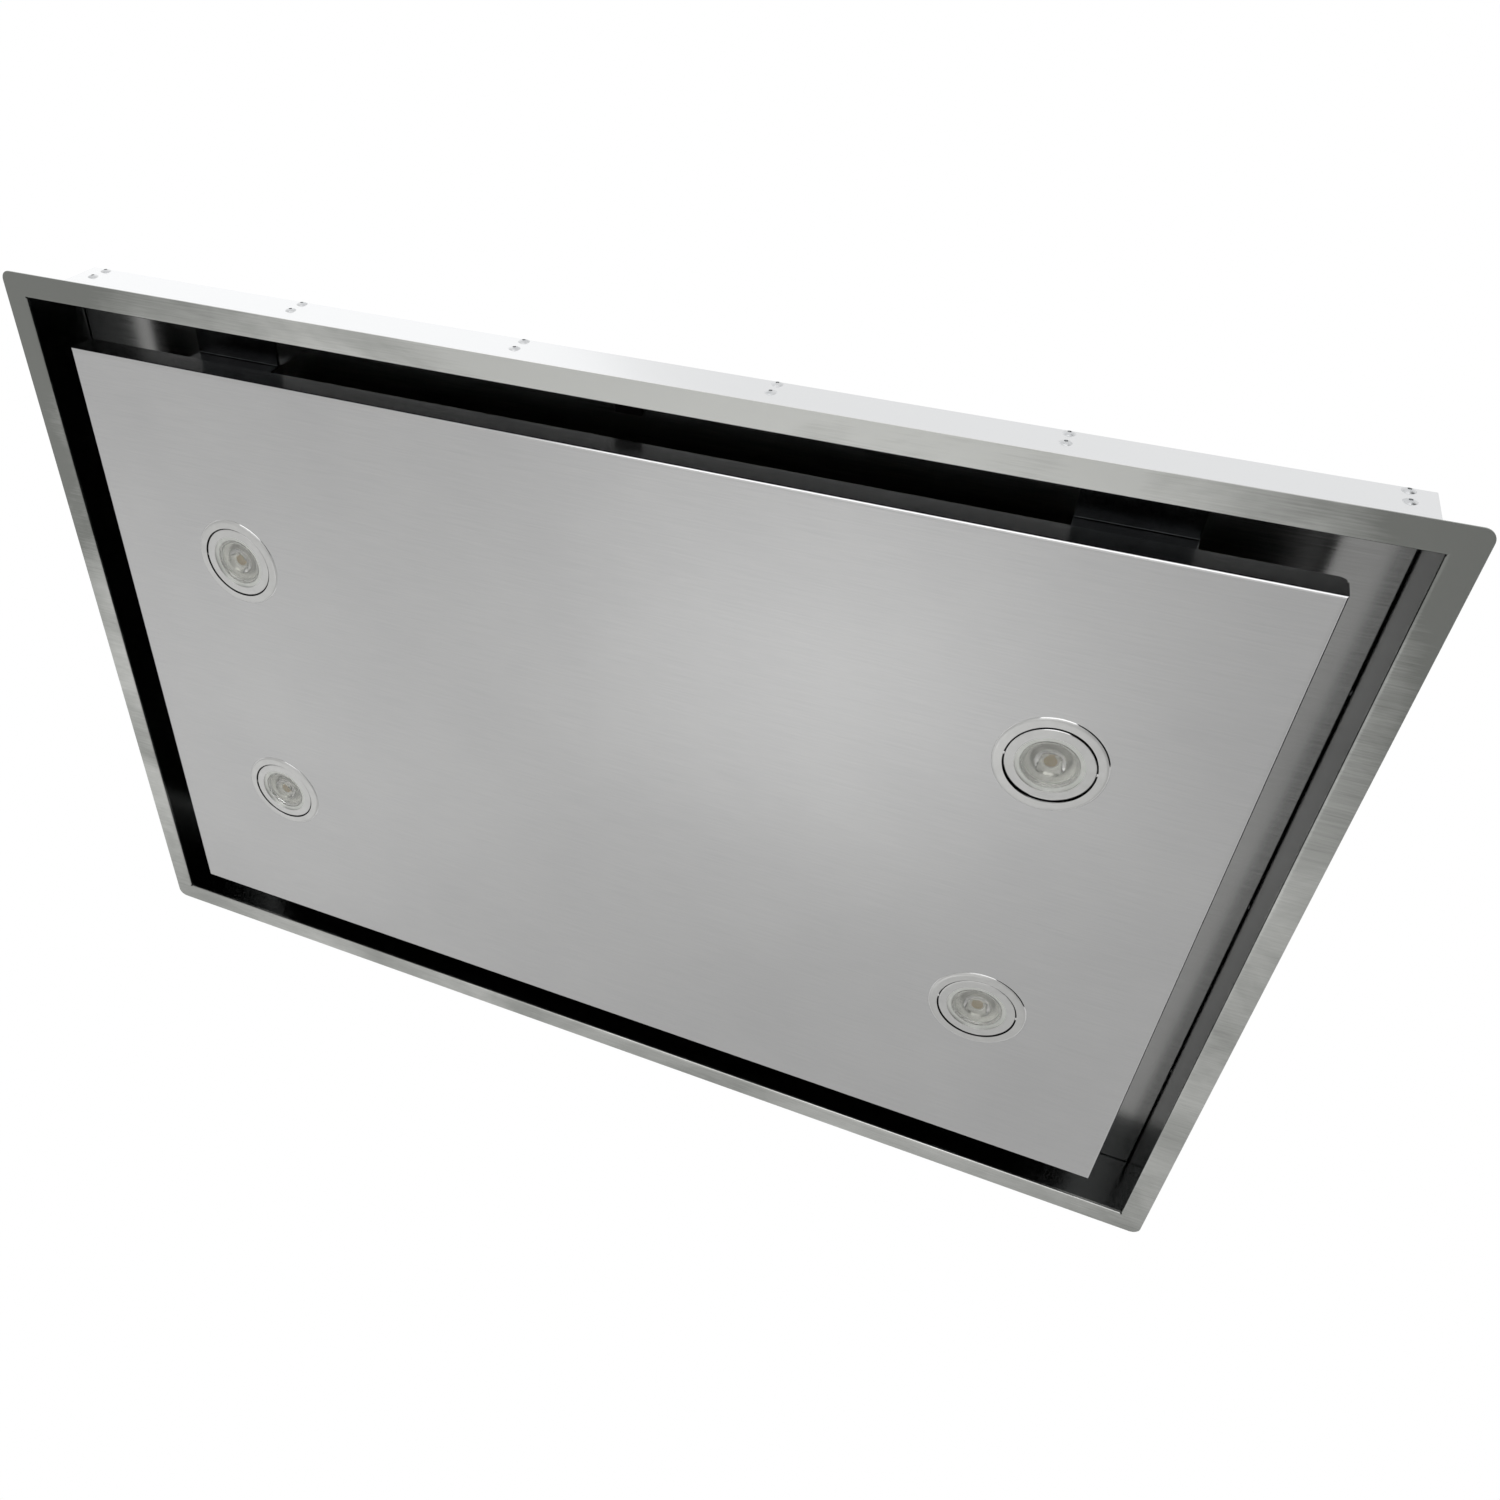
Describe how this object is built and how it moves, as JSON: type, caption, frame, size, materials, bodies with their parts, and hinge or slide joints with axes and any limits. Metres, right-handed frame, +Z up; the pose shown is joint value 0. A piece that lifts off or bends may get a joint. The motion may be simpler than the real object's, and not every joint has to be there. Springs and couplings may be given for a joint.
{
  "type": "ceiling range hood",
  "caption": "Ceiling-mounted range hood with a flanged steel frame, a drop-down perimeter suction panel with tilting downlights, grease filters and a blower above.",
  "frame": {"origin": "middle of the ceiling cut-out, level with the ceiling's lower face, which the flange's upper face rests against", "axes": "+X along the hood's long side, +Y from the front long side to the rear one with the outlet, +Z up into the ceiling"},
  "size_m": [1.06, 0.7, 0.2973],
  "materials": {
    "frame_steel": "brushed stainless steel sheet",
    "tray_steel": "brushed stainless steel sheet",
    "panel_steel": "fine brushed stainless steel sheet",
    "rivet_aluminium": "blind rivets, bright",
    "housing_galvanised": "hot-dip galvanised sheet steel",
    "blower_galvanised": "hot-dip galvanised sheet steel",
    "stiffener_galvanised": "hot-dip galvanised sheet steel",
    "zinc_screws": "zinc-plated steel",
    "bracket_steel": "zinc-plated sheet steel",
    "impeller_steel": "galvanised sheet steel",
    "shaft_steel": "ground steel",
    "pin_steel": "ground steel",
    "motor_casting": "die-cast aluminium",
    "mount_rubber": "black rubber",
    "capacitor_can": "plastic can",
    "collar_steel": "galvanised sheet steel",
    "damper_aluminium": "sheet aluminium",
    "control_plastic": "flame-retardant plastic",
    "lid_plastic": "flame-retardant plastic",
    "circuit_board": "circuit board with components",
    "gland_nylon": "black nylon",
    "driver_case": "white plastic case",
    "receiver_plastic": "black plastic with a dark window",
    "carrier_steel": "stainless steel sheet",
    "leaf_steel": "stainless steel sheet",
    "catch_nylon": "black nylon",
    "bolt_steel": "turned steel, polished nose",
    "spring_steel": "spring wire",
    "filter_frame_aluminium": "rolled aluminium channel",
    "filter_mesh_aluminium": "layers of expanded aluminium mesh",
    "handle_steel": "bent stainless strip",
    "clip_steel": "spring strip",
    "bezel_nickel": "satin nickel-plated ring",
    "gimbal_nickel": "satin nickel-plated ring",
    "module_aluminium": "turned aluminium heat sink with a pale emitter",
    "lens_glass": "clear pressed lens"
  },
  "bodies": {
    "hood": {"canopy_frame": "frame_steel", "intake_tray": "tray_steel", "tray_rivets": "rivet_aluminium", "fan_housing": "housing_galvanised", "housing_top": "housing_galvanised", "housing_screws": "zinc_screws", "suspension_brackets": "bracket_steel", "scroll_casing": "blower_galvanised", "scroll_top": "blower_galvanised", "inlet_ring": "blower_galvanised", "motor_plate": "blower_galvanised", "fan_motor": "motor_casting", "vibration_mounts": "mount_rubber", "run_capacitor": "capacitor_can", "outlet_collar": "collar_steel", "damper_pin": "pin_steel", "control_box": "control_plastic", "control_box_lid": "lid_plastic", "control_board": "circuit_board", "cable_gland": "gland_nylon", "led_driver": "driver_case", "signal_receiver": "receiver_plastic", "hinge_brackets": "carrier_steel", "hinge_pins": "pin_steel", "catch_brackets": "carrier_steel", "catch_housings": "catch_nylon", "catch_springs": "spring_steel"},
    "panel": {"suction_panel": "panel_steel", "panel_stiffeners": "stiffener_galvanised", "hinge_leaves": "leaf_steel", "catch_keepers": "leaf_steel", "lamp_clips": "clip_steel", "bezel_ring_front_left": "bezel_nickel", "bezel_ring_front_right": "bezel_nickel", "bezel_ring_rear_left": "bezel_nickel", "bezel_ring_rear_right": "bezel_nickel"},
    "lamp_front_left": {"gimbal_ring_front_left": "gimbal_nickel", "led_module_front_left": "module_aluminium", "lamp_lens_front_left": "lens_glass"},
    "lamp_front_right": {"gimbal_ring_front_right": "gimbal_nickel", "led_module_front_right": "module_aluminium", "lamp_lens_front_right": "lens_glass"},
    "lamp_rear_left": {"gimbal_ring_rear_left": "gimbal_nickel", "led_module_rear_left": "module_aluminium", "lamp_lens_rear_left": "lens_glass"},
    "lamp_rear_right": {"gimbal_ring_rear_right": "gimbal_nickel", "led_module_rear_right": "module_aluminium", "lamp_lens_rear_right": "lens_glass"},
    "catch_left": {"catch_bolt_left": "bolt_steel"},
    "filter_left": {"filter_frame_left": "filter_frame_aluminium", "filter_mesh_left": "filter_mesh_aluminium", "filter_handle_left": "handle_steel"},
    "flap_left": {"damper_left": "damper_aluminium"},
    "catch_right": {"catch_bolt_right": "bolt_steel"},
    "filter_right": {"filter_frame_right": "filter_frame_aluminium", "filter_mesh_right": "filter_mesh_aluminium", "filter_handle_right": "handle_steel"},
    "flap_right": {"damper_right": "damper_aluminium"},
    "fan": {"impeller": "impeller_steel", "motor_shaft": "shaft_steel"}
  },
  "joints": [
    {"name": "panel_swing", "type": "hinge", "parent": "hood", "child": "panel", "pos_m": [0, 0.2812, 0.0328], "axis": [1, 0, 0], "range_deg": [0, 90]},
    {"name": "lamp_tilt_front_left", "type": "hinge", "parent": "panel", "child": "lamp_front_left", "pos_m": [-0.3434, -0.1289, -0.0013], "axis": [1, 0, 0], "range_deg": [-20, 20]},
    {"name": "lamp_tilt_front_right", "type": "hinge", "parent": "panel", "child": "lamp_front_right", "pos_m": [0.3434, -0.1289, -0.0013], "axis": [1, 0, 0], "range_deg": [-23, 17]},
    {"name": "lamp_tilt_rear_left", "type": "hinge", "parent": "panel", "child": "lamp_rear_left", "pos_m": [-0.3434, 0.1289, -0.0013], "axis": [1, 0, 0], "range_deg": [-20, 20]},
    {"name": "lamp_tilt_rear_right", "type": "hinge", "parent": "panel", "child": "lamp_rear_right", "pos_m": [0.3434, 0.1289, -0.0013], "axis": [1, 0, 0], "range_deg": [-20, 20]},
    {"name": "catch_bolt_left", "type": "slide", "parent": "hood", "child": "catch_left", "axis": [0, 1, 0], "range_m": [0, 0.004], "stiffness_N_per_m": 1000, "springref_m": -0.004},
    {"name": "catch_bolt_right", "type": "slide", "parent": "hood", "child": "catch_right", "axis": [0, 1, 0], "range_m": [0, 0.004], "stiffness_N_per_m": 1000, "springref_m": -0.004},
    {"name": "filter_push_left", "type": "slide", "parent": "hood", "child": "filter_left", "axis": [0, 1, 0], "range_m": [0, 0.008]},
    {"name": "filter_push_right", "type": "slide", "parent": "hood", "child": "filter_right", "axis": [0, 1, 0], "range_m": [0, 0.008]},
    {"name": "fan_spin", "type": "hinge", "parent": "hood", "child": "fan", "pos_m": [-0.13, -0.04012, 0], "axis": [0, 0, 1], "continuous": true},
    {"name": "flap_left_open", "type": "hinge", "parent": "hood", "child": "flap_left", "pos_m": [0, 0.252, 0.1786], "axis": [0, 0, -1], "range_deg": [0, 78], "stiffness_Nm_per_rad": 0.01, "springref_deg": -17.19},
    {"name": "flap_right_open", "type": "hinge", "parent": "hood", "child": "flap_right", "pos_m": [0, 0.252, 0.1786], "axis": [0, 0, 1], "range_deg": [0, 78], "stiffness_Nm_per_rad": 0.01, "springref_deg": -17.19}
  ]
}
